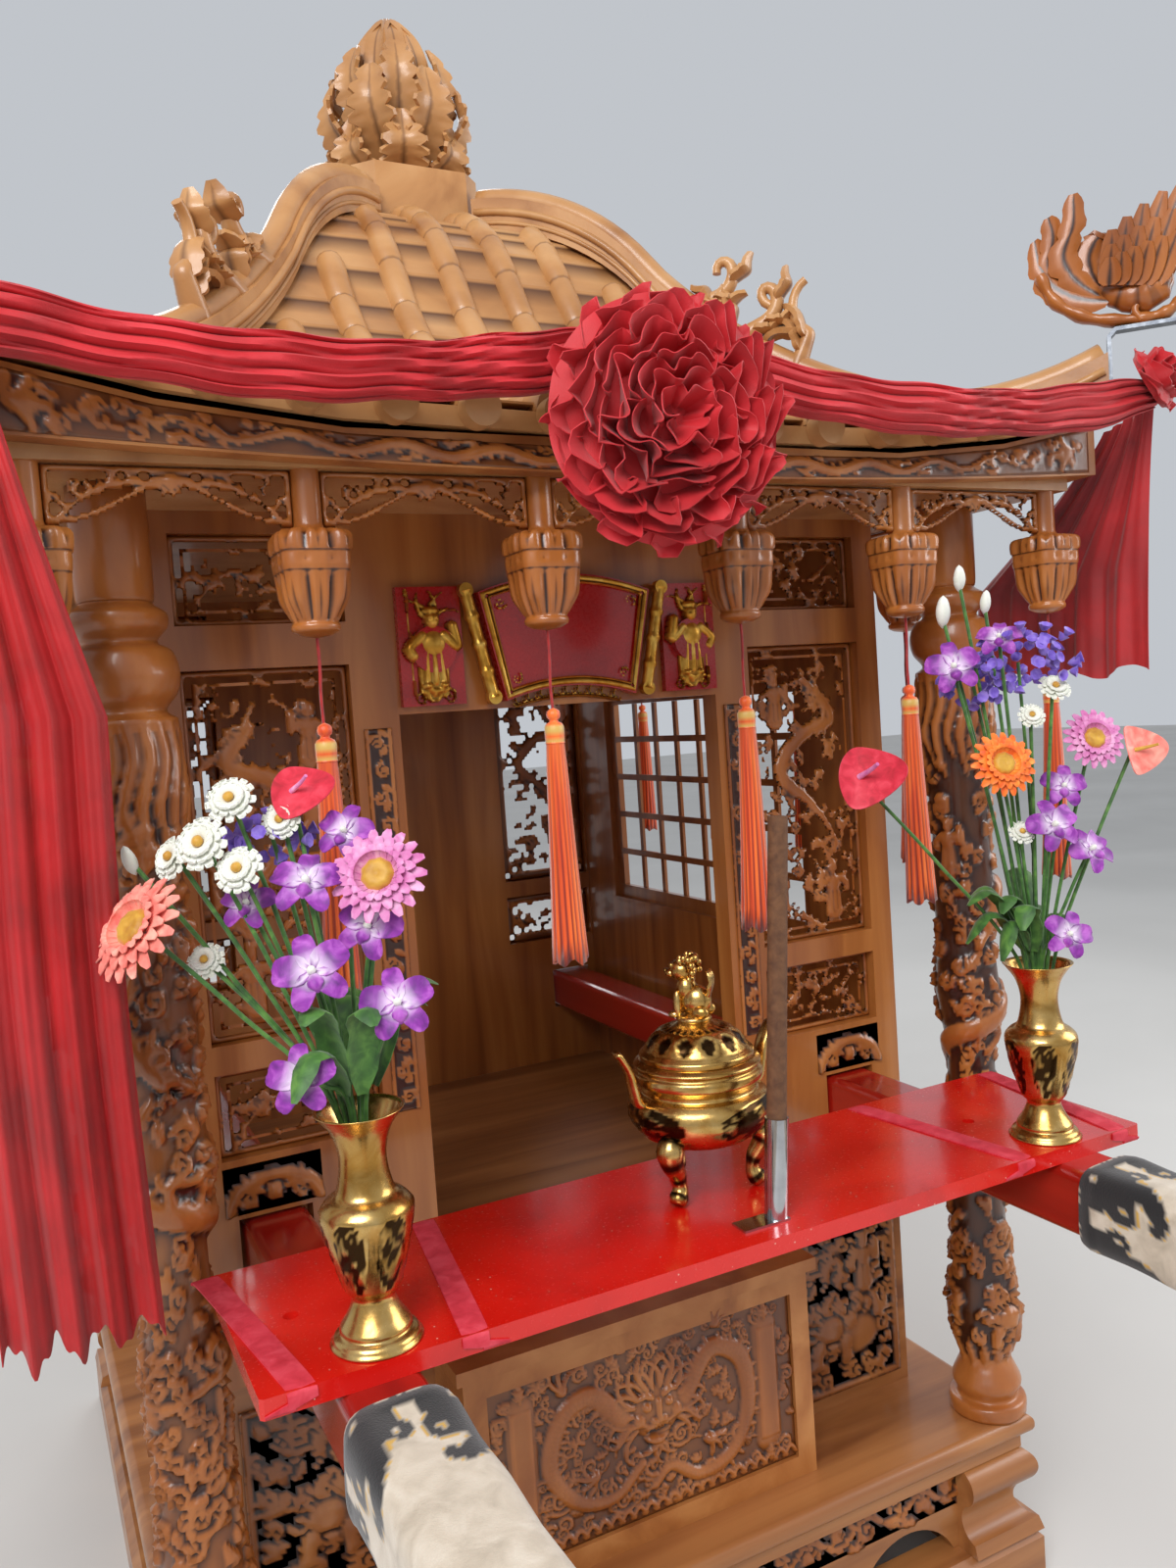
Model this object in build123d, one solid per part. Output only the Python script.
from build123d import *
from math import atan2, cos, hypot, pi, radians, sin, sqrt
import os

# A carried temple palanquin of carved and varnished wood. Millimetres, +Z up.
# Origin: on the ground, under the middle of the base. -Y is the front, +X its right hand side in view.
os.makedirs("parts", exist_ok=True)

SEAT = 0.3                   # clearance where one piece lies on another

# Base
BASE_HALF_W = 699.0          # half width of the deck's rounded edge
BASE_HALF_D = 791.0          # half depth of the same
PLINTH_OUT = 5.0             # plinth stands proud of the deck by this
PLINTH_H = 96.0
PLINTH_EDGE = 14.0           # bevel round the plinth's upper edge
PLINTH_RAIL = 80.0           # width of the plinth's four rails
LEG_H = 144.0
LEG_GAP = 0.5                # seat of the legs and aprons between plinth and deck
APRON_ARCHES = 5
STEP_H = 26.0                # moulding between the legs and the deck
STEP_IN = 17.0
DECK_T = 34.0
DECK_NOSE = 15.0
APRON_IN = 40.0
APRON_T = 24.0
APRON_SCALLOP = 62.0         # depth of the apron's cut-out arches
LEG_W = 108.0                # width of a leg along each side
LEG_OUT = 46.0               # how far the beast head reaches past the apron

# Pedestal and floor
PED_HALF_W = 600.0
PED_FRONT = 586.0            # half depth at the wall planes
PED_T = 22.0
FLOOR_Z = 640.0
FLOOR_T = 20.0
PED_GAP = (30.0, 40.0, 60.0)  # margins of the opening behind the raised front: side, foot, head
DRAGON_HALF_W = 296.0        # raised front block with the dragon relief
DRAGON_FRONT = 710.0
DRAGON_H = 359.0
DRAGON_FRAME = 34.0
DRAGON_FRAME_T = 24.0
DRAGON_SINK = 8.0            # from the frame's face to the carved ground
DRAGON_BACK_T = 16.0
DRAGON_CHEEK_T = 20.0
DRAGON_TOP_T = 20.0
DRAGON_TOP_OUT = 12.0

# Cabin
WALL_HALF_W = 617.0
WALL_T = 40.0
POST_W = 45.0
DOOR_HALF_W = 272.0
DOOR_TOP = 1573.0
DOOR_POST_W = 68.0
RAIL_Z = 978.0               # top of the rail over the pole slots
RAIL_H = 44.0
UPPER_RAIL_Z = 1689.0
SCREEN_T = 14.0
CEILING_Z = 1862.0
CEILING_T = 18.0
SIDE_WINDOW_Z0 = 1090.0
SIDE_WINDOW_Z1 = 1600.0
SIDE_WINDOW_HALF = 400.0
LATTICE_BAR = 14.0
LATTICE_COLS = 8
LATTICE_ROWS = 5
SIDE_BORDER = 30.0

# Poles
POLE_X = 505.0
POLE_W = 92.0
POLE_TOP = 889.0
POLE_EDGE = 14.0
COVER_EDGE = 24.0
POLE_HALF_L = 1950.0
POLE_GAP = 5.0               # gap between a pole and its slot
COVER_T = 12.0
COVER_NEAR = 1130.0
COVER_FAR = 1860.0
COVER_GAP = 0.3

# Columns
COL_IN = (42.0, 65.0)        # from the deck's side and front edge to a column's axis
COL_CLEAR = 80.0             # least room from a column's axis to a pole or a wall
COL_X = max(BASE_HALF_W - COL_IN[0], POLE_X + POLE_W / 2 + COL_CLEAR)
COL_Y = max(BASE_HALF_D - COL_IN[1], PED_FRONT + COL_CLEAR)
COL_R = 45.0
COL_BODY_R = 60.0            # mean radius of the carved shaft

# Eaves
EAVE_HALF_W = 835.0
EAVE_HALF_D = 915.0
FASCIA_HALF_W = 785.0
FASCIA_HALF_D = 870.0
FASCIA_T = 30.0
FASCIA_Z = 1858.0
FASCIA_GAP = 7.2             # between the fascia and the roof boards
FASCIA_RISE = 24.0           # how much higher the lower edge is at its ends
HANG_X = 150.0               # half the spacing of the hanging posts across the front
HANG_Y = 170.0               # the same along the sides
HANG_EDGE_X = 750.0
HANG_EDGE_Y = 850.0
HANG_R = 17.0
LANTERN_TOP = 1789.0
LANTERN_H = 122.0
SPANDREL_T = 16.0
SPANDREL_H = 66.0

# Roof
ROOF_TOP_T = 0.13            # inner end of the roof surface, as a share of the eave's half size
SHELL_T = 24.0
CORNER_RISE = 75.0
ROW_PITCH = 102.0
ROW_W = 46.0
ROW_H = 24.0
ROW_CLEAR = 44.0            # from a row's side to the hip line, along the eave
ROW_LIFT = 7.0
KNOB_R = 23.0
KNOB_L = 26.0
KNOB_GAP = 0.5
RIDGE_T = 56.0
PLAT_HALF = 122.0
PLAT_Z = 2470.5
PLAT_H = 112.0
PLAT_CORNER = 34.0
FINIAL_R = 160.0
FINIAL_H = 326.0
BLADE_T = 12.0
FLAME_LEAVES = 8

# Altar furniture
BOARD_HALF_W = 628.0
BOARD_BACK = COL_Y + 52.0
BOARD_FRONT = BOARD_BACK + 307.0
BOARD_T = 22.0
BOARD_HOLE_R = 9.0
VASE_X = 494.0
VASE_Y = -(BOARD_BACK + 257.0)
BURNER_Y = -(BOARD_BACK + 127.0)
HOLDER_X = 21.0
HOLDER_Y = -(BOARD_BACK + 261.0)
HOLDER_LEAN = 4.3            # degrees from upright, to the right
STICK_R = 12.5
STICK_L = 415.0

DECK_Z = PLINTH_H + LEG_H + STEP_H
DECK_TOP = DECK_Z + DECK_T
BOARD_TOP = POLE_TOP + BOARD_T


def block(x0, x1, y0, y1, z0, z1):
    return Pos((x0 + x1) / 2, (y0 + y1) / 2, (z0 + z1) / 2) * Box(x1 - x0, y1 - y0, z1 - z0)


def frame_ring(half_w, half_d, width, z0, z1):
    outer = block(-half_w, half_w, -half_d, half_d, z0, z1)
    return outer - block(-half_w + width, half_w - width, -half_d + width, half_d - width, z0 - 1, z1 + 1)


def turned(profile, x=0.0, y=0.0, z=0.0):
    """A turned solid: profile rows are (radius, height), from the bottom up."""
    pts = [(0, profile[0][1])] + [(r, h) for r, h in profile] + [(0, profile[-1][1])]
    face = make_face(Polyline(*[Vector(r, 0, h) for r, h in pts], close=True))
    return Pos(x, y, z) * revolve(face, Axis.Z)


def corners(x, y):
    return [(sx * x, sy * y) for sx in (-1, 1) for sy in (-1, 1)]


def save(name, *solids):
    flat = []
    for item in solids:
        flat += list(item) if isinstance(item, (list, tuple)) else [item]
    export_step(Compound(children=flat) if len(flat) > 1 else flat[0], f"parts/{name}.step")


# Roof surface
# Profile rows: share of the way from the axis to the eave, height at the middle of a side
ROOF_PROFILE = ((0.13, 2470.0), (0.26, 2420.0), (0.40, 2270.0), (0.62, 2050.0), (1.0, 1925.0))
# Ridge rows: the same shares, height of the ridge's upper edge
RIDGE_PROFILE = ((0.13, 2528.0), (0.26, 2482.0), (0.40, 2330.0), (0.60, 2128.0), (0.80, 2024.0),
                 (0.92, 2034.0), (1.0, 2066.0))


def arc_height(rows, t, reach):
    """Height at share t on the circle through three profile rows, where share 1 is reach away from the axis."""
    (x1, z1), (x2, z2), (x3, z3) = [(p[0] * reach, p[1]) for p in rows]
    d = 2 * (x1 * (z2 - z3) + x2 * (z3 - z1) + x3 * (z1 - z2))
    s1, s2, s3 = x1 * x1 + z1 * z1, x2 * x2 + z2 * z2, x3 * x3 + z3 * z3
    cx = (s1 * (z2 - z3) + s2 * (z3 - z1) + s3 * (z1 - z2)) / d
    cz = (s1 * (x3 - x2) + s2 * (x1 - x3) + s3 * (x2 - x1)) / d
    root = sqrt((x1 - cx) ** 2 + (z1 - cz) ** 2 - (t * reach - cx) ** 2)
    return cz + root if z2 > cz else cz - root


# Corner lift rows: share of the way from the middle to the hip, share of the corner's lift
LIFT_ROWS = ((0.0, 0.0), (0.5, 0.1), (0.75, 0.4), (1.0, 1.0))


def section_rows(lift):
    """Profile rows of one upright section, raised towards the eave by its share of the corner's lift."""
    return [(t, z + CORNER_RISE * lift * max(0.0, (t - 0.4) / 0.6) ** 2) for t, z in ROOF_PROFILE]


def section_height(along, f, lift, t):
    w, d = (f * EAVE_HALF_W, EAVE_HALF_D) if along == "x" else (EAVE_HALF_W, f * EAVE_HALF_D)
    rows = section_rows(lift)
    return arc_height(rows[0:3] if t < rows[2][0] else rows[2:5], t, hypot(w, d))


def roof_height(along, f, t):
    """Roof height on the side whose eave runs along the named axis: straight between the lift rows."""
    f = min(abs(f), 1.0)
    (f0, l0), (f1, l1) = next((a, b) for a, b in zip(LIFT_ROWS[:-1], LIFT_ROWS[1:]) if f <= b[0])
    z0, z1 = section_height(along, f0, l0, t), section_height(along, f1, l1, t)
    return z0 + (z1 - z0) * (f - f0) / (f1 - f0)


def roof_section(along, f, lift):
    """One closed section of the shell, in the upright plane through the axis."""
    w, d = (f * EAVE_HALF_W, EAVE_HALF_D) if along == "x" else (EAVE_HALF_W, f * EAVE_HALF_D)
    edges = []
    for drop in (0.0, SHELL_T):
        p = [Vector(w * t, d * t, z - drop) for t, z in section_rows(lift)]
        edges.append([ThreePointArc(*p[0:3]), ThreePointArc(*p[2:5])])
    ends = [Line(edges[0][k] @ k, edges[1][k] @ k) for k in (0, 1)]
    return make_face(Curve() + edges[0] + [ends[1]] + edges[1][::-1] + [ends[0]])


def roof_side(along):
    places = [(-f, lift) for f, lift in LIFT_ROWS[:0:-1]] + list(LIFT_ROWS)
    return loft([roof_section(along, f, lift) for f, lift in places], ruled=True)


def roof_shell():
    back, right = roof_side("x"), roof_side("y")
    front = back.mirror(Plane.XZ)
    left = right.mirror(Plane.YZ)
    return back + right + front + left


ROW_STATIONS = (0.16, 0.20, 0.24, 0.28, 0.32, 0.36, 0.40, 0.50, 0.62, 0.75, 0.88, 1.0)


def tile_row(along, c):
    """One barrel row on the back or right side, at distance c from the middle."""
    half = EAVE_HALF_W if along == "x" else EAVE_HALF_D
    reach = EAVE_HALF_D if along == "x" else EAVE_HALF_W
    start = max((PLAT_HALF + 2) / reach, (abs(c) + ROW_W / 2 + ROW_CLEAR) / half)
    stations = [start] + [t for t in ROW_STATIONS if t > start + 0.02]
    faces = []
    for t in stations:
        step = 0.004
        f = (abs(c) + ROW_W / 2) / (half * t)
        z = roof_height(along, f, t) + ROW_LIFT
        k = hypot(1, (z - ROW_LIFT - roof_height(along, f, t - step)) / (step * reach))
        shape = ((-0.5, 0), (-0.42, 0.6), (-0.18, 1), (0.18, 1), (0.42, 0.6), (0.5, 0))
        pts = [(c + u * ROW_W, z + v * ROW_H * k) for u, v in shape]
        place = [Vector(u, reach * t, w) if along == "x" else Vector(reach * t, u, w) for u, w in pts]
        faces.append(make_face(Polyline(*place, close=True)))
    return loft(faces, ruled=True)


def row_places(half):
    n = int((half - ROW_W) / ROW_PITCH)
    return [(i + 0.5) * ROW_PITCH for i in range(n)] + [-(i + 0.5) * ROW_PITCH for i in range(n)]


def knob(along, c):
    half = EAVE_HALF_W if along == "x" else EAVE_HALF_D
    reach = EAVE_HALF_D if along == "x" else EAVE_HALF_W
    z = roof_height(along, (abs(c) + ROW_W / 2) / half, 1.0) - 6.0
    disc = Cylinder(KNOB_R, KNOB_L)
    if along == "x":
        return Pos(c, reach + KNOB_L / 2 + KNOB_GAP, z) * Rot(90, 0, 0) * disc
    return Pos(reach + KNOB_L / 2 + KNOB_GAP, c, z) * Rot(0, 90, 0) * disc


def around(make, half_x, half_y):
    """Rows on all four sides, from the makers of the back and right sides."""
    out = []
    for c in row_places(half_x):
        s = make("x", c)
        out += [s, s.mirror(Plane.XZ)]
    for c in row_places(half_y):
        s = make("y", c)
        out += [s, s.mirror(Plane.YZ)]
    return out


def hip_plane(sx, sy):
    diag = Vector(sx * EAVE_HALF_W, sy * EAVE_HALF_D, 0).normalized()
    return Plane(origin=(0, 0, 0), x_dir=diag, z_dir=diag.cross(Vector(0, 0, 1)))


HIP_LEN = hypot(EAVE_HALF_W, EAVE_HALF_D)


def hip_ridge(sx, sy):
    """Board standing on the hip: lower edge on the shell, upper edge an S-curve that turns up at the corner."""
    r = [(p[0] * HIP_LEN, p[1]) for p in RIDGE_PROFILE]
    low = [(t * HIP_LEN, z + 0.5) for t, z in section_rows(1.0)]
    outline = (Curve() + [ThreePointArc(r[0], r[1], r[2]), ThreePointArc(r[2], r[3], r[4]),
                          ThreePointArc(r[4], r[5], r[6]), Line(r[6], low[4]),
                          ThreePointArc(low[4], low[3], low[2]), ThreePointArc(low[2], low[1], low[0]),
                          Line(low[0], r[0])])
    return extrude(hip_plane(sx, sy) * make_face(outline), RIDGE_T / 2, both=True)


# Base
def scalloped_board(length, height, depth, n):
    """Board standing along X with n round arches cut from its lower edge, its foot at z = 0."""
    board = block(-length / 2, length / 2, -depth / 2, depth / 2, 0, height)
    pitch = length / n
    for i in range(n):
        x = -length / 2 + (i + 0.5) * pitch
        board -= Pos(x, 0, -pitch * 0.5 + APRON_SCALLOP) * Rot(90, 0, 0) * Cylinder(pitch * 0.5, depth + 2)
    return board


def base_aprons():
    z, h = PLINTH_H + LEG_GAP, LEG_H - 2 * LEG_GAP
    long_y = 2 * (BASE_HALF_D - APRON_IN - LEG_W)
    long_x = 2 * (BASE_HALF_W - APRON_IN - LEG_W)
    side = scalloped_board(long_y, h, APRON_T, APRON_ARCHES)
    front = scalloped_board(long_x, h, APRON_T, APRON_ARCHES)
    x, y = BASE_HALF_W - APRON_IN - APRON_T / 2, BASE_HALF_D - APRON_IN - APRON_T / 2
    return ([Pos(0, s * y, z) * front for s in (-1, 1)]
            + [Pos(s * x, 0, z) * Rot(0, 0, 90) * side for s in (-1, 1)])


# Leg curve: distance in from the toe's line, height
LEG_CURVE = ((6, 22), (34, 48), (22, 82), (4, 112))
LEG_HEAD = 10.0


def cabriole_leg():
    """Corner leg of the +X +Y quarter: what two S-curved profiles at right angles have in common."""
    w, h = LEG_W + LEG_OUT, LEG_H - 2 * LEG_GAP
    toe, shin, calf, knee = [(w - u, v) for u, v in LEG_CURVE]
    top = (LEG_W + LEG_HEAD, h)
    edges = [Line((0, 0), (w, 0)), Line((w, 0), toe), ThreePointArc(toe, shin, calf),
             ThreePointArc(calf, knee, top), Line(top, (0, h)), Line((0, h), (0, 0))]
    face = make_face(Curve() + edges)
    return extrude(Plane.XZ * face, -w) & Rot(0, 0, 90) * extrude(Plane.XZ * face, w)


def cabriole_legs():
    x, y = BASE_HALF_W - APRON_IN - LEG_W, BASE_HALF_D - APRON_IN - LEG_W
    leg = Pos(x, y, PLINTH_H + LEG_GAP) * cabriole_leg()
    right = [leg, leg.mirror(Plane.XZ)]
    return right + [s.mirror(Plane.YZ) for s in right]


def base_deck():
    step = block(-BASE_HALF_W + STEP_IN, BASE_HALF_W - STEP_IN, -BASE_HALF_D + STEP_IN, BASE_HALF_D - STEP_IN,
                 PLINTH_H + LEG_H, DECK_Z)
    deck = block(-BASE_HALF_W, BASE_HALF_W, -BASE_HALF_D, BASE_HALF_D, DECK_Z, DECK_TOP)
    deck = fillet(deck.edges().filter_by(Axis.Z, reverse=True), DECK_NOSE)
    return step + deck


def plinth():
    ring = frame_ring(BASE_HALF_W + PLINTH_OUT, BASE_HALF_D + PLINTH_OUT, PLINTH_RAIL, 0, PLINTH_H)
    top = ring.faces().sort_by(Axis.Z)[-1].outer_wire().edges()
    return chamfer(top, PLINTH_EDGE)


save("plinth_frame", plinth())
save("cabriole_legs", cabriole_legs())
save("base_aprons", base_aprons())
save("base_deck", base_deck())


# Pedestal, raised front and floor
def pedestal():
    """Low walls under the cabin, with an opening behind the raised front."""
    ring = frame_ring(PED_HALF_W, PED_FRONT, PED_T, DECK_TOP, FLOOR_Z)
    w = DRAGON_HALF_W - PED_GAP[0]
    return ring - block(-w, w, -PED_FRONT - 1, -PED_FRONT + PED_T + 1, DECK_TOP + PED_GAP[1], FLOOR_Z - PED_GAP[2])


def dragon_block():
    """Raised front: carved panel in a moulded frame, with its two cheeks and a step board on top."""
    w, y0, y1 = DRAGON_HALF_W, -DRAGON_FRONT, -PED_FRONT
    z0, z1 = DECK_TOP, DECK_TOP + DRAGON_H
    head, y2 = z1 - DRAGON_TOP_T, y0 + DRAGON_FRAME_T
    wi, zi, zj, yp = w - DRAGON_FRAME, z0 + DRAGON_FRAME, head - DRAGON_FRAME, y0 + DRAGON_SINK
    frame = block(-w, w, y0, y2, z0, head) - block(-wi, wi, y0 - 1, y2 + 1, zi, zj)
    panel = block(-wi, wi, yp, yp + DRAGON_BACK_T, zi, zj)
    cheek = block(w - DRAGON_CHEEK_T, w, y2, y1, z0, head)
    top = block(-w - DRAGON_TOP_OUT, w + DRAGON_TOP_OUT, y0 - DRAGON_TOP_OUT, y1, head, z1)
    return frame + panel + cheek + cheek.mirror(Plane.YZ) + top


save("pedestal_walls", pedestal())
save("dragon_panel_block", dragon_block())
save("cabin_floor", block(-PED_HALF_W, PED_HALF_W, -PED_FRONT, PED_FRONT, FLOOR_Z, FLOOR_Z + FLOOR_T))


# Columns
# Turned rows from the deck up: radius, height
COLUMN_ROWS = ((64, 0), (64, 22), (50, 30), (58, 52), (50, 74), (44, 86), (COL_BODY_R, 130), (72, 190),
               (COL_BODY_R, 260), (54, 380), (66, 480), (50, 560), (50, 640), (70, 740), (56, 840), (68, 920),
               (54, 1010), (66, 1120), (74, 1190), (44, 1250), (44, 1268), (56, 1290), (56, 1310), (42, 1330),
               (42, 1350), (52, 1376), (52, 1400), (40, 1424), (COL_R, 1440), (COL_R, CEILING_Z - DECK_TOP))
COLUMN = turned(COLUMN_ROWS)
for sx, sy in corners(1, 1):
    side = "left" if sx < 0 else "right"
    end = "front" if sy < 0 else "rear"
    save(f"dragon_column_{end}_{side}", Pos(sx * COL_X, sy * COL_Y, DECK_TOP) * COLUMN)


# Cabin walls
WALL_Z = FLOOR_Z + FLOOR_T
SLOT_X0 = POLE_X - POLE_W / 2 - POLE_GAP
SLOT_X1 = POLE_X + POLE_W / 2 + POLE_GAP
SLOT_Z0 = POLE_TOP - POLE_W - SEAT
SLOT_Z1 = POLE_TOP + POLE_GAP


def end_wall_frame(y0, door):
    """Frame of the front (or back) wall: corner posts, inner posts, rails, and the pole slots' boards."""
    y1 = y0 + WALL_T
    z0, z1 = WALL_Z, CEILING_Z
    solid = block(-WALL_HALF_W, WALL_HALF_W, y0, y1, z0, z1)
    inner = DOOR_HALF_W + DOOR_POST_W
    bay0, bay1 = inner, WALL_HALF_W - POST_W
    if door:
        solid -= block(-DOOR_HALF_W, DOOR_HALF_W, y0 - 1, y1 + 1, z0 - 1, DOOR_TOP)
    for s in (-1, 1):
        for heights, _, _ in BAYS:
            xa, xb = sorted((s * bay0, s * bay1))
            solid -= block(xa, xb, y0 - 1, y1 + 1, *heights)
        xa, xb = sorted((s * SLOT_X0, s * SLOT_X1))
        solid -= block(xa, xb, y0 - 1, y1 + 1, SLOT_Z0, SLOT_Z1)
    return solid


SMALL_H = 120.0              # height of the small lower bays
BAY_RAIL = 40.0
HEAD_RAIL = 30.0
SMALL_Z = (RAIL_Z, RAIL_Z + SMALL_H)
TALL_Z = (SMALL_Z[1] + BAY_RAIL, UPPER_RAIL_Z - BAY_RAIL)
UPPER_Z = (UPPER_RAIL_Z + BAY_RAIL / 2, CEILING_Z - HEAD_RAIL)
# Bays of the end walls from the foot up: heights, cut-outs across, cut-outs up
BAYS = ((SMALL_Z, 2, 1), (TALL_Z, 2, 5), (UPPER_Z, 3, 2))
SCREEN_BORDER = 24.0


def screen(x0, x1, y, z0, z1, border, cols, rows):
    """Openwork screen: a board with a border and a pattern of cut-outs between crossing bars."""
    panel = block(x0, x1, y - SCREEN_T / 2, y + SCREEN_T / 2, z0, z1)
    w = (x1 - x0 - 2 * border - (cols - 1) * LATTICE_BAR) / cols
    h = (z1 - z0 - 2 * border - (rows - 1) * LATTICE_BAR) / rows
    for i in range(cols):
        for j in range(rows):
            xa = x0 + border + i * (w + LATTICE_BAR)
            za = z0 + border + j * (h + LATTICE_BAR)
            panel -= block(xa, xa + w, y - SCREEN_T, y + SCREEN_T, za, za + h)
    return panel


def end_screens(y):
    out = []
    x0, x1 = DOOR_HALF_W + DOOR_POST_W, WALL_HALF_W - POST_W
    for (lo, hi), cols, rows in BAYS:
        s = screen(x0, x1, y, lo, hi, SCREEN_BORDER, cols, rows)
        out += [s, s.mirror(Plane.YZ)]
    return out


save("front_wall_frame", end_wall_frame(-PED_FRONT, True))
save("rear_wall_frame", end_wall_frame(PED_FRONT - WALL_T, False))
save("front_screens", end_screens(-PED_FRONT + WALL_T / 2))
save("rear_screens", end_screens(PED_FRONT - WALL_T / 2))


def side_wall(s):
    y = PED_FRONT - WALL_T - 0.5
    xa, xb = sorted((s * (WALL_HALF_W - WALL_T), s * WALL_HALF_W))
    wall = block(xa, xb, -y, y, WALL_Z, CEILING_Z)
    return wall - block(xa - 1, xb + 1, -SIDE_WINDOW_HALF, SIDE_WINDOW_HALF, SIDE_WINDOW_Z0, SIDE_WINDOW_Z1)


def side_lattice(s):
    """Window of separate bars: a butted border, with upright bars lapped over level ones inside it."""
    w, z0, z1, b, half = SIDE_WINDOW_HALF, SIDE_WINDOW_Z0, SIDE_WINDOW_Z1, SIDE_BORDER, SCREEN_T / 2
    bars = [block(-w, w, -half, half, z, z + b) for z in (z0, z1 - b)]
    bars += [block(y, y + b, -half, half, z0 + b + SEAT, z1 - b - SEAT) for y in (-w, w - b)]
    for rank, count in ((0, LATTICE_COLS), (1, LATTICE_ROWS)):
        lo, hi = (-w + b, w - b) if rank == 0 else (z0 + b, z1 - b)
        cell = (hi - lo - (count - 1) * LATTICE_BAR) / count
        for k in range(1, count):
            at = lo + k * (cell + LATTICE_BAR) - LATTICE_BAR
            if rank == 0:
                bars.append(block(at, at + LATTICE_BAR, -half, -SEAT / 2, z0 + b + SEAT, z1 - b - SEAT))
            else:
                bars.append(block(-w + b + SEAT, w - b - SEAT, SEAT / 2, half, at, at + LATTICE_BAR))
    place = Pos(s * (WALL_HALF_W - WALL_T / 2), 0, 0) * Rot(0, 0, 90 * s)
    return [place * bar for bar in bars]


save("side_wall_left", side_wall(-1))
save("side_wall_right", side_wall(1))
save("side_lattices", side_lattice(-1), side_lattice(1))
save("ceiling_plate", block(-FASCIA_HALF_W, FASCIA_HALF_W, -FASCIA_HALF_D, FASCIA_HALF_D,
                            CEILING_Z, CEILING_Z + CEILING_T))


# Poles and their covers
def pole(sx):
    bar = block(-POLE_W / 2, POLE_W / 2, -POLE_HALF_L, POLE_HALF_L, POLE_TOP - POLE_W, POLE_TOP)
    bar = fillet(bar.edges().filter_by(Axis.Y), POLE_EDGE)
    return Pos(sx * POLE_X, 0, 0) * bar


def pole_cover(sx, sy):
    """Padded cloth round a handle: a tube of square section with round corners."""
    g = POLE_W / 2 + COVER_GAP
    long = COVER_FAR - COVER_NEAR
    zc = POLE_TOP - POLE_W / 2
    outer = Box(2 * (g + COVER_T), long, 2 * (g + COVER_T))
    outer = fillet(outer.edges().filter_by(Axis.Y), COVER_EDGE)
    return Pos(sx * POLE_X, sy * (COVER_NEAR + long / 2), zc) * (outer - Box(2 * g, long + 2, 2 * g))


save("carrying_poles", pole(-1), pole(1))
save("pole_covers", [pole_cover(sx, sy) for sx in (-1, 1) for sy in (-1, 1)])


# Eaves
def fascia(along, length, half):
    """Board along X whose lower edge is an arc and whose upper edge follows the roof."""
    w, z = length / 2, FASCIA_Z
    low = ThreePointArc((-w, z + FASCIA_RISE), (0, z), (w, z + FASCIA_RISE))
    eave, reach = (EAVE_HALF_W, EAVE_HALF_D) if along == "x" else (EAVE_HALF_D, EAVE_HALF_W)
    t = (half + FASCIA_T / 2) / reach
    rows = [f * eave * t for f, _ in LIFT_ROWS[1:-1]] + [w]
    xs = [-x for x in rows[::-1]] + rows
    top = Polyline(*[(x, roof_height(along, x / (eave * t), t) - SHELL_T - FASCIA_GAP) for x in xs[::-1]])
    face = make_face(Curve() + [low, Line(low @ 1, top @ 0), top, Line(top @ 1, low @ 0)])
    board = extrude(Plane.XZ * face, FASCIA_T / 2, both=True)
    return Pos(0, half, 0) * board


def fascias():
    front = fascia("x", 2 * (FASCIA_HALF_W + FASCIA_T), FASCIA_HALF_D + FASCIA_T / 2 + 0.5)
    side = fascia("y", 2 * FASCIA_HALF_D, FASCIA_HALF_W + FASCIA_T / 2 + 0.5)
    right = Rot(0, 0, -90) * side
    return [front, front.mirror(Plane.XZ), right, right.mirror(Plane.YZ)]


FRONT_POSTS = [(i - 2.5) * 2 * HANG_X for i in range(6)]
SIDE_POSTS = [(i - 1.5) * 2 * HANG_Y for i in range(4)]


# Lantern rows: radius, height over its foot
LANTERN_ROWS = ((6, 0), (18, 8), (26, 30), (34, 40), (34, 88), (42, 100), (30, LANTERN_H), (HANG_R, LANTERN_H + 6))


def hanging_post(x, y):
    """Round stem under the ceiling plate with its carved lantern: crown, gallery, petal body, foot."""
    rows = [(r, LANTERN_TOP - LANTERN_H + h) for r, h in LANTERN_ROWS] + [(HANG_R, CEILING_Z)]
    return turned(rows, x, y)


def spandrel(x0, x1):
    """Cusped board between two hanging posts, its upper edge under the ceiling plate."""
    a, b, z1 = x0 + HANG_R + 0.3, x1 - HANG_R - 0.3, CEILING_Z - 0.3
    m, low = (a + b) / 2, z1 - SPANDREL_H
    q = (b - a) / 4
    edges = [Line((a, z1), (a, low)), ThreePointArc((a, low), (a + q * 0.7, low + 14), (a + q, low + 40)),
             ThreePointArc((a + q, low + 40), (m, low + 62), (b - q, low + 40)),
             ThreePointArc((b - q, low + 40), (b - q * 0.7, low + 14), (b, low)), Line((b, low), (b, z1)),
             Line((b, z1), (a, z1))]
    return extrude(Plane.XZ * make_face(Curve() + edges), SPANDREL_T / 2, both=True)


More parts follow.
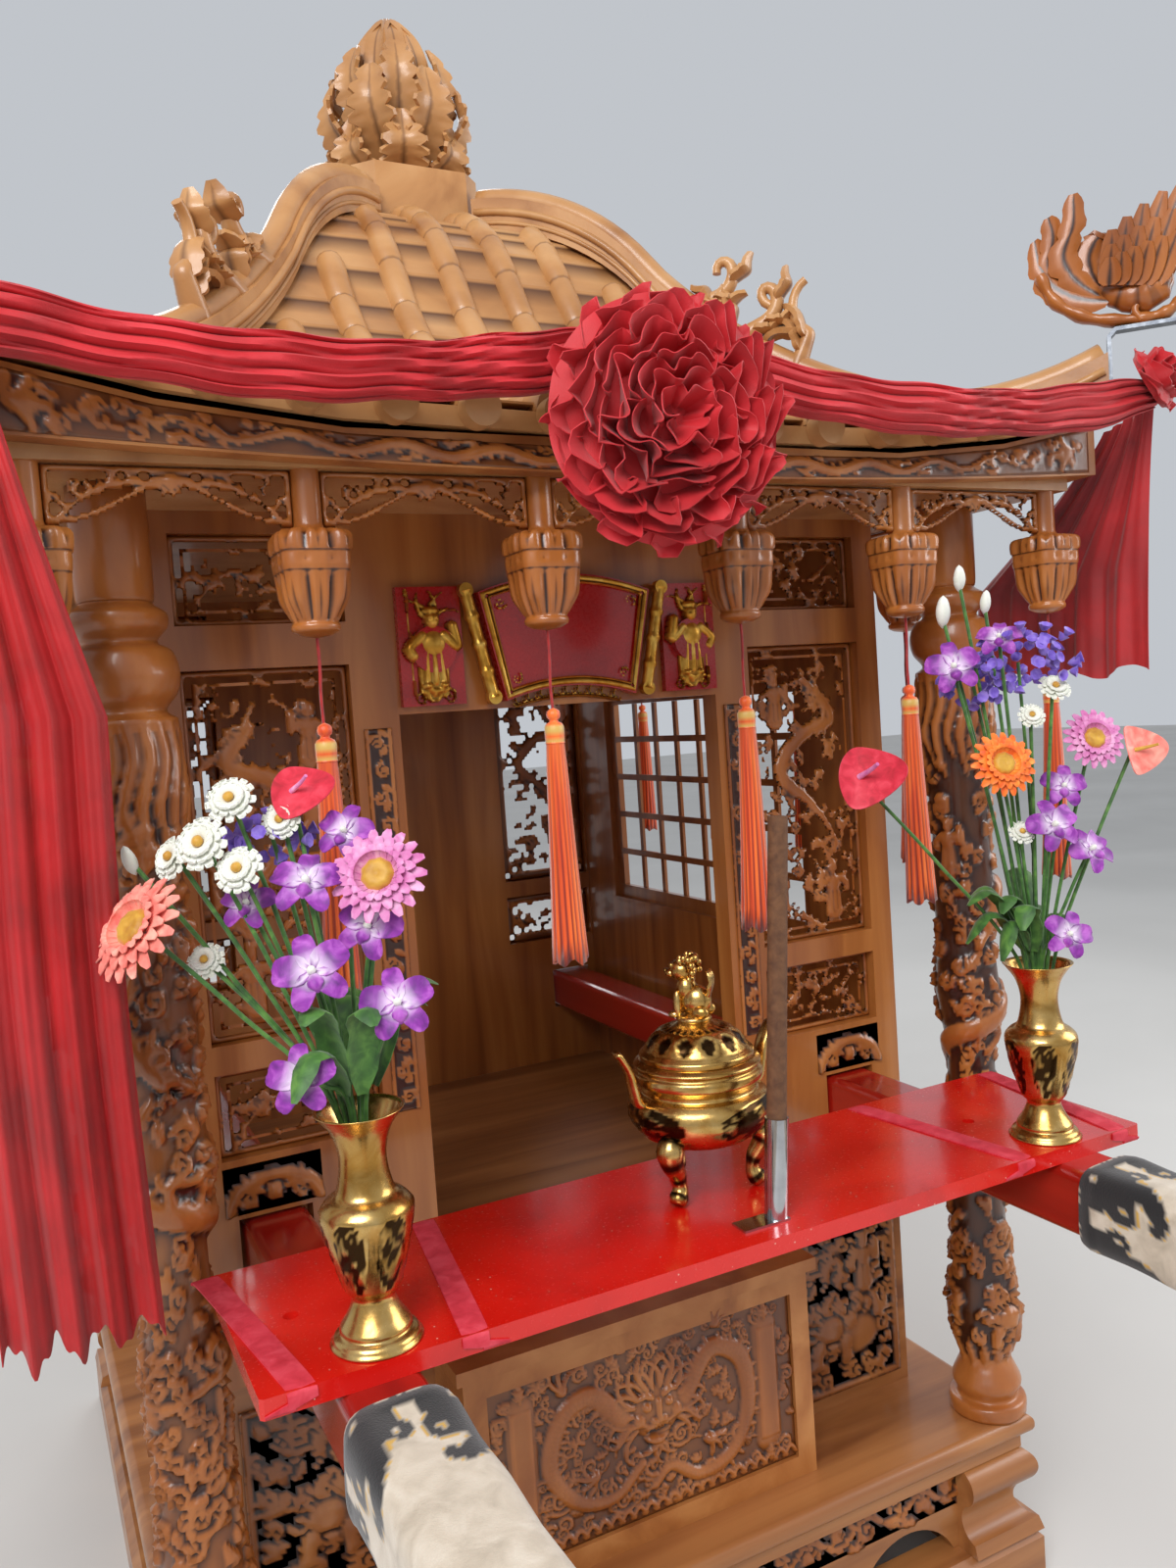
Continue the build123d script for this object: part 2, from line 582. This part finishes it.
def spandrels():
    out = []
    for x0, x1 in zip(FRONT_POSTS[:-1], FRONT_POSTS[1:]):
        s = Pos(0, HANG_EDGE_Y, 0) * spandrel(x0, x1)
        out += [s, s.mirror(Plane.XZ)]
    ys = [-HANG_EDGE_Y] + SIDE_POSTS + [HANG_EDGE_Y]
    for y0, y1 in zip(ys[:-1], ys[1:]):
        s = Pos(HANG_EDGE_X, 0, 0) * Rot(0, 0, 90) * spandrel(y0, y1)
        out += [s, s.mirror(Plane.YZ)]
    return out


POST_PLACES = [(x, s * HANG_EDGE_Y) for s in (-1, 1) for x in FRONT_POSTS]
SIDE_PLACES = [(s * HANG_EDGE_X, y) for s in (-1, 1) for y in SIDE_POSTS]
save("fascia_boards", fascias())
save("spandrel_boards", spandrels())
save("lantern_posts_ends", [hanging_post(x, y) for x, y in POST_PLACES])
save("lantern_posts_sides", [hanging_post(x, y) for x, y in SIDE_PLACES])

# Roof
save("roof_shell", roof_shell())
save("barrel_tiles", around(tile_row, EAVE_HALF_W, EAVE_HALF_D))
save("tile_end_knobs", around(knob, EAVE_HALF_W, EAVE_HALF_D))
save("hip_ridges", [hip_ridge(sx, sy) for sx, sy in corners(1, 1)])


def platform():
    body = block(-PLAT_HALF, PLAT_HALF, -PLAT_HALF, PLAT_HALF, PLAT_Z, PLAT_Z + PLAT_H)
    return chamfer(body.edges().filter_by(Axis.Z), PLAT_CORNER)


# Finial stem rows: radius, height over the platform
FINIAL_ROWS = ((34, 0), (34, 14), (20, 24), (26, 60), (14, 90), (20, 200), (12, 230), (12, FINIAL_H - 56),
               (28, FINIAL_H - 34), (28, FINIAL_H - 18), (8, FINIAL_H))
# Flame leaf outline: shares of the finial's radius and height
FLAME_LEAF = ((0.0625, 0.0123), (0.62, 0.031), (0.90, 0.12), (0.72, 0.20), (1.00, 0.32), (0.74, 0.38),
              (0.86, 0.56), (0.56, 0.54), (0.50, 0.78), (0.30, 0.68), (0.0625, 0.72))


def finial():
    """Turned stem with a gourd head, and flame leaves that stand round it."""
    outline = Polyline(*[(u * FINIAL_R, v * FINIAL_H) for u, v in FLAME_LEAF], close=True)
    leaf = extrude(Plane.XZ * make_face(outline), BLADE_T / 2, both=True)
    stem = turned(FINIAL_ROWS)
    for i in range(FLAME_LEAVES):
        stem += Rot(0, 0, 360 / FLAME_LEAVES * i) * leaf
    return Pos(0, 0, PLAT_Z + PLAT_H) * stem


SCROLL_SPAN = (0.44, 0.62)   # shares of the hip that a scroll stands on
SCROLL_T = 30.0
SCROLL_EYE_R = 20.0


def hip_scroll(sx, sy):
    """Openwork scroll plate standing on a hip ridge."""
    ts = (SCROLL_SPAN[0], sum(SCROLL_SPAN) / 2, SCROLL_SPAN[1])
    low = [(t * HIP_LEN, arc_height(RIDGE_PROFILE[2:5], t, HIP_LEN) + 0.5) for t in ts]
    (r0, z0), (r1, z1) = low[0], low[2]
    crest, dip = (r1 + 20, z1 + 110), (r0 + 110, z0 + 60)
    edges = [ThreePointArc(*low), ThreePointArc(low[2], (r1 + 60, z1 + 60), crest),
             ThreePointArc(crest, (r1 - 30, z1 + 96), dip), ThreePointArc(dip, (r0 + 60, z0 + 92), low[0])]
    plane = hip_plane(sx, sy)
    plate = extrude(plane * make_face(Curve() + edges), SCROLL_T / 2, both=True)
    return plate - plane * Pos(r1 + 4, z1 + 60) * Cylinder(SCROLL_EYE_R, 2 * SCROLL_T)


save("roof_platform", platform())
save("flame_finial", finial())
save("hip_scrolls", [hip_scroll(sx, sy) for sx, sy in corners(1, 1)])

# Corner spring arms and phoenixes
ARM_T = 6.0
ARM_W = 24.0
ARM_OUT = 105.0              # reach of the strip's level part beyond the ridge's end
BIRD_Z = 38.0                # height of the bird's seat over the ridge tip


def arm_points():
    """Middle line of the bent strip in the hip's plane: up the ridge's end, then level under the bird."""
    r, z = RIDGE_PROFILE[-1][0] * HIP_LEN + ARM_T / 2 + SEAT, RIDGE_PROFILE[-1][1]
    return (r, z - 55), (r, z + BIRD_Z - 10), (r + 10, z + BIRD_Z), (r + ARM_OUT, z + BIRD_Z)


def corner_arm(sx, sy):
    p = arm_points()
    strip = Pos(*p[0]) * Circle(ARM_T / 2)
    for a, b in zip(p[:-1], p[1:]):
        run = Vector(b[0] - a[0], b[1] - a[1])
        angle = atan2(run.Y, run.X) * 180 / pi
        strip += Pos((a[0] + b[0]) / 2, (a[1] + b[1]) / 2) * Rot(0, 0, angle) * Rectangle(run.length, ARM_T)
        strip += Pos(*b) * Circle(ARM_T / 2)
    return extrude(hip_plane(sx, sy) * strip, ARM_W / 2, both=True)


BEAK_X = 72.0                # from the bird's seat to its beak, along the hip
BEAK_Z = 38.0


def bird_seat():
    p = arm_points()[2]
    return p[0] + 32, p[1] + ARM_T / 2 + SEAT


# Bird outlines from the middle of its seat: along the hip, up; each is closed by arcs through every third point
BIRD_T = 32.0
BIRD_ARCS = ((36, 0), (48, 16), (BEAK_X - 8, BEAK_Z), (BEAK_X, BEAK_Z), (BEAK_X + 8, BEAK_Z), (84, 70), (52, 100),
             (32, 72), (0, 56), (-36, 78), (-48, 112), (-30, 170), (-40, 222), (-78, 206), (-96, 164), (-128, 168),
             (-153, 150), (-128, 60), (-34, 0))
WING_ARCS = ((-30, 45), (0, 36), (30, 45), (58, 84), (62, 130), (70, 172), (63, 208), (22, 168), (-30, 45))
WING_T = 10.0
WING_OUT = 24.0


def arc_face(points, x, z):
    """Face whose edge is a run of arcs, each through three points; three points in line make a straight edge."""
    edges = []
    for a, m, b in zip(points[:-2:2], points[1:-1:2], points[2::2]):
        p = [Vector(x + u, z + v) for u, v in (a, m, b)]
        bent = abs((p[1] - p[0]).cross(p[2] - p[0]).Z) > 1e-6
        edges.append(ThreePointArc(*p) if bent else Line(p[0], p[2]))
    if points[0] != points[-1]:
        edges.append(Line(edges[-1] @ 1, edges[0] @ 0))
    return make_face(Curve() + edges)


def phoenix(sx, sy):
    """Bird on its arm: body and tail as one outline along the hip, with two raised wings."""
    x, z = bird_seat()
    plane = hip_plane(sx, sy)
    solid = extrude(plane * arc_face(BIRD_ARCS, x, z), BIRD_T / 2, both=True)
    for off in (-WING_OUT - WING_T, WING_OUT):
        solid += plane * Pos(0, 0, off) * extrude(arc_face(WING_ARCS, x, z), WING_T)
    return solid + plane * Pos(x, z + 45, 0) * Box(40, 22, 2 * WING_OUT + WING_T)


save("corner_arms", [corner_arm(sx, sy) for sx, sy in corners(1, 1)])
save("phoenixes", [phoenix(sx, sy) for sx, sy in corners(1, 1)])

# Offering board with its straps
BOARD_Y = -(BOARD_FRONT + BOARD_BACK) / 2
BOARD_D = BOARD_FRONT - BOARD_BACK
HOLES_X = (-562.0, 448.0)    # two holes through the board, clear of the poles
STRAP_W = 30.0
STRAP_T = 2.5
STRAP_GAP = 0.3
STRAP_SPREAD = 115.0         # from the vase's middle to each strap


def offering_board():
    board = block(-BOARD_HALF_W, BOARD_HALF_W, -BOARD_FRONT, -BOARD_BACK, POLE_TOP, BOARD_TOP)
    for x in HOLES_X:
        board -= Pos(x, BOARD_Y, BOARD_TOP) * Cylinder(BOARD_HOLE_R, 3 * BOARD_T)
    return chamfer(board.edges().filter_by(Axis.Z), 4)


def board_strap(x):
    """Elastic band wound once round the board, just inside or outside a pole."""
    g = STRAP_GAP
    loop = Box(STRAP_W, BOARD_D + 2 * (g + STRAP_T), BOARD_T + 2 * (g + STRAP_T))
    loop -= Box(STRAP_W + 2, BOARD_D + 2 * g, BOARD_T + 2 * g)
    return Pos(x, BOARD_Y, POLE_TOP + BOARD_T / 2) * loop


# Vase rows: outer radius and height above the board, from the foot up
VASE_ROWS = ((46, 0), (46, 8), (40, 20), (30, 34), (24, 44), (24, 54), (30, 62), (44, 108), (50, 140), (48, 152),
             (34, 160), (27, 176), (25, 196), (30, 222), (44, 244), (48, 250))
VASE_WALL = 2.5
VASE_SOLID_H = 44.0          # the foot is solid up to here


def vase(x):
    inner = [(r - VASE_WALL, h) for r, h in VASE_ROWS if h > VASE_SOLID_H]
    outer = turned(VASE_ROWS)
    cavity = turned(inner[:-1] + [(inner[-1][0], inner[-1][1] + 1)])
    return Pos(x, VASE_Y, BOARD_TOP) * (outer - cavity)


# Burner: bowl on three legs with two lugs, and a domed lid with a finial
BOWL_ROWS = ((20, 66), (62, 74), (88, 92), (96, 112), (94, 132), (78, 140), (84, 160), (84, 176), (76, 182))
BOWL_WALL = 4.0
BOWL_H = 182.0
LEG_FOOT = 72.0              # from the burner's axis to a leg's
LEG_ROWS = ((13, 0), (15, 12), (9, 26), (8, 44), (16, 70), (18, 88), (8, 96))
LUG_OUTLINE = ((84, 128), (94, 128), (104, 160), (122, 206), (112, 210), (94, 170))
LUG_W = 28.0
LID_LIFT = 0.3
LID_H = 44.0
LID_R = 74.0


def burner_bowl():
    outer = turned(BOWL_ROWS)
    inner = turned([(r - BOWL_WALL, h + (BOWL_WALL if i < 2 else 0)) for i, (r, h) in enumerate(BOWL_ROWS[:-1])]
                   + [(BOWL_ROWS[-1][0] - BOWL_WALL, BOWL_H + 1)])
    body = outer - inner
    for k in range(3):
        a = radians(90 + 120 * k)
        body += turned(LEG_ROWS, LEG_FOOT * cos(a), LEG_FOOT * sin(a)) - outer
    for s in (-1, 1):
        plate = extrude(Plane.XZ * make_face(Polyline(*LUG_OUTLINE, close=True)), LUG_W / 2, both=True)
        body += plate if s > 0 else plate.mirror(Plane.YZ)
    return Pos(0, BURNER_Y, BOARD_TOP) * body


def burner_lid():
    z = BOWL_H + LID_LIFT
    dome = ((76, 0), (76, 8), (LID_R - 8, 14), (60, 28), (40, 40), (22, LID_H))
    body = turned(dome) - turned(((70, -1), (70, 6), (LID_R - 12, 11), (56, 25), (38, 36), (20, LID_H - 4)))
    for k in range(12):
        body -= Rot(0, 0, 30 * k) * Pos(58, 0, 26) * Box(20, 12, 11)
    lion = turned(((22, 0), (22, 8), (16, 14), (24, 34), (20, 52), (12, 58), (20, 72), (20, 88), (10, 104)))
    return Pos(0, BURNER_Y, BOARD_TOP + z) * (body + Pos(0, 0, LID_H - 1) * lion)


HOLDER_H = 126.0
HOLDER_R = 15.0
HOLDER_FOOT = (68.0, 30.0, 3.0)
STICK_IN = 38.0              # depth of the stick in its tube


def incense_holder():
    """Steel plate foot with a leaning tube that takes the stick."""
    foot = Pos(HOLDER_R - HOLDER_FOOT[0] / 2 - 4, 0, HOLDER_FOOT[2] / 2) * Box(*HOLDER_FOOT)
    tube = Pos(0, 0, HOLDER_H / 2 - 1.5) * Cylinder(HOLDER_R, HOLDER_H)
    tube -= Pos(0, 0, HOLDER_H - 1.5 - STICK_IN / 2) * Cylinder(STICK_R + 0.5, STICK_IN + 3)
    return Pos(HOLDER_X, HOLDER_Y, BOARD_TOP) * (foot + Pos(0, 0, HOLDER_FOOT[2]) * Rot(0, HOLDER_LEAN, 0) * tube)


save("offering_board", offering_board())
save("board_straps", [board_strap(s * VASE_X + d) for s in (-1, 1) for d in (-STRAP_SPREAD, STRAP_SPREAD)])
save("vases", vase(-VASE_X), vase(VASE_X))
save("burner_bowl", burner_bowl())
save("burner_lid", burner_lid())
save("incense_holder", incense_holder())
save("incense_stick", Pos(HOLDER_X, HOLDER_Y, BOARD_TOP + HOLDER_FOOT[2]) * Rot(0, HOLDER_LEAN, 0)
     * Pos(0, 0, HOLDER_H - 1.5 - STICK_IN + STICK_L / 2) * Cylinder(STICK_R, STICK_L))

# Plaque and side boards over the doorway
PLAQUE_Z0 = 1583.0
PLAQUE_Z1 = 1745.0
PLAQUE_LOW = 110.0           # half width at the lower edge
PLAQUE_HIGH = 145.0          # half width at the upper edge
PLAQUE_T = 22.0
PLAQUE_BOW = (18.0, 26.0)    # rise of the lower and the upper edge
PLAQUE_RIM = 12.0
PLAQUE_SINK = 4.0
SIDE_BOARD_X = (171.0, 268.0)
SIDE_BOARD_T = 12.0
SIDE_FIGURE = (34.0, 24.0)   # radius and depth of the round that stands for a carved figure


def plaque_face(rim):
    """The plaque's fan outline, drawn in by the rim."""
    low_w, high_w, z0, z1 = PLAQUE_LOW - rim, PLAQUE_HIGH - rim, PLAQUE_Z0 + rim, PLAQUE_Z1 - rim
    low = ThreePointArc((-low_w, z0), (0, z0 + PLAQUE_BOW[0]), (low_w, z0))
    top = ThreePointArc((high_w, z1), (0, z1 + PLAQUE_BOW[1]), (-high_w, z1))
    return make_face(Curve() + [low, Line(low @ 1, top @ 0), top, Line(top @ 1, low @ 0)])


def plaque():
    """Blank fan-shaped name board with a raised rim."""
    back = -PED_FRONT - SEAT
    board = Pos(0, back, 0) * extrude(Plane.XZ * plaque_face(0), PLAQUE_T)
    return board - Pos(0, back - PLAQUE_T + PLAQUE_SINK, 0) * extrude(Plane.XZ * plaque_face(PLAQUE_RIM), PLAQUE_T)


def plaque_side(s):
    x0, x1 = SIDE_BOARD_X
    back, front = -PED_FRONT - SEAT, -PED_FRONT - SEAT - SIDE_BOARD_T
    board = block(x0, x1, front, back, PLAQUE_Z0, PLAQUE_Z1 + 10)
    figure = Pos((x0 + x1) / 2, front, (PLAQUE_Z0 + PLAQUE_Z1) / 2) * Rot(90, 0, 0) * Cylinder(*SIDE_FIGURE)
    both = board + figure
    return both if s > 0 else both.mirror(Plane.YZ)


save("plaque", plaque())
save("plaque_side_boards", plaque_side(-1), plaque_side(1))

# Cloth dressing: swag along the front eave, rosette, and drapes at the corners
SWAG_R = 34.0
SWAG_DROP = 46.0
SWAG_Y = -(EAVE_HALF_D + KNOB_GAP + KNOB_L + SEAT + SWAG_R)
SWAG_Z = 1990.0


def swag(x0, x1):
    path = ThreePointArc((x0, SWAG_Y, SWAG_Z), ((x0 + x1) / 2, SWAG_Y, SWAG_Z - SWAG_DROP), (x1, SWAG_Y, SWAG_Z))
    section = Plane(origin=path @ 0, z_dir=path % 0) * Circle(SWAG_R)
    return sweep(section, path)


ROSETTE_X = -58.0
ROSETTE_DROP = 95.0          # from the swag's ends down to the rosette's middle
ROSETTE_R = 162.0
ROSETTE_T = 70.0
DRAPE_T = 8.0
SWAG_END = EAVE_HALF_W + 15
SWAG_SPANS = ((-SWAG_END, ROSETTE_X - 40), (ROSETTE_X + 40, SWAG_END))


def swag_low(span, x):
    """Height of the swag's underside at x."""
    u = (2 * x - span[0] - span[1]) / (span[1] - span[0])
    return SWAG_Z - SWAG_DROP * (1 - u * u) - SWAG_R


save("eave_swag", [swag(*span) for span in SWAG_SPANS])
save("rosette", Pos(ROSETTE_X, SWAG_Y - SWAG_R - SEAT - ROSETTE_T / 2, SWAG_Z - ROSETTE_DROP) * Rot(90, 0, 0)
     * Cylinder(ROSETTE_R, ROSETTE_T))
DRAPE_W = 150.0
DRAPE_LOW = 960.0            # lower edge of the left drape
SIDE_DRAPE_Y = (-930.0, -560.0)
SIDE_DRAPE_Z = (1565.0, 1960.0)


def left_drape():
    """Sheer tail of the swag, hanging straight from its underside."""
    inner = -(SWAG_END - DRAPE_W)
    return block(-SWAG_END, inner, SWAG_Y - DRAPE_T / 2, SWAG_Y + DRAPE_T / 2, DRAPE_LOW,
                 swag_low(SWAG_SPANS[0], inner) - 3 * SEAT)


def right_drape():
    """Sheer cloth along the right side, against the tile ends."""
    x = EAVE_HALF_W + KNOB_GAP + KNOB_L + SEAT
    return block(x, x + DRAPE_T, *SIDE_DRAPE_Y, *SIDE_DRAPE_Z)


save("corner_drapes", left_drape(), right_drape())

# Tassels: string, gold-banded cap and silk skirt under each lantern and each phoenix
CORD_D = 4.0
CORD_L = 100.0
CAP_R = 13.0
CAP_H = 46.0
SKIRT_L = 290.0
SKIRT_R = 22.0
BIG_CORD = 1010.0


def cord_tube(x, y, z, length):
    return Pos(x, y, z - length / 2) * Cylinder(CORD_D / 2, length)


def tassel(x, y, z):
    rows = ((SKIRT_R, -CAP_H - SKIRT_L), (SKIRT_R * 0.7, -CAP_H - 20), (CAP_R, -CAP_H), (CAP_R, 0))
    return turned(rows, x, y, z)


def beak(sx, sy):
    x, z = bird_seat()
    p = hip_plane(sx, sy).from_local_coords(Vector(x + BEAK_X, z + BEAK_Z, 0))
    return p.X, p.Y, p.Z


HANG_PLACES = [(x, y, LANTERN_TOP - LANTERN_H, CORD_L) for x, y in POST_PLACES + SIDE_PLACES]
HANG_PLACES += [(*beak(sx, sy), BIG_CORD) for sx, sy in corners(1, 1)]
save("tassel_cords", [cord_tube(*p) for p in HANG_PLACES])
save("tassels", [tassel(x, y, z - length) for x, y, z, length in HANG_PLACES])

# Bouquets in the vases
BOUQUET_R = 130.0
BOUQUET_H = 420.0
STEM_R = 14.0
VASE_FLOOR = 54.0            # height of the vase's inner floor over its foot
STEM_FOOT = VASE_FLOOR - VASE_ROWS[-1][1] + SEAT


def bouquet(x):
    z = BOARD_TOP + VASE_ROWS[-1][1]
    rows = ((STEM_R, STEM_FOOT), (STEM_R, -20), (26, 20), (40, 80), (90, 200), (BOUQUET_R, 320), (80, BOUQUET_H),
            (20, BOUQUET_H + 20))
    return turned(rows, x, VASE_Y, z)


save("bouquets", bouquet(-VASE_X), bouquet(VASE_X))
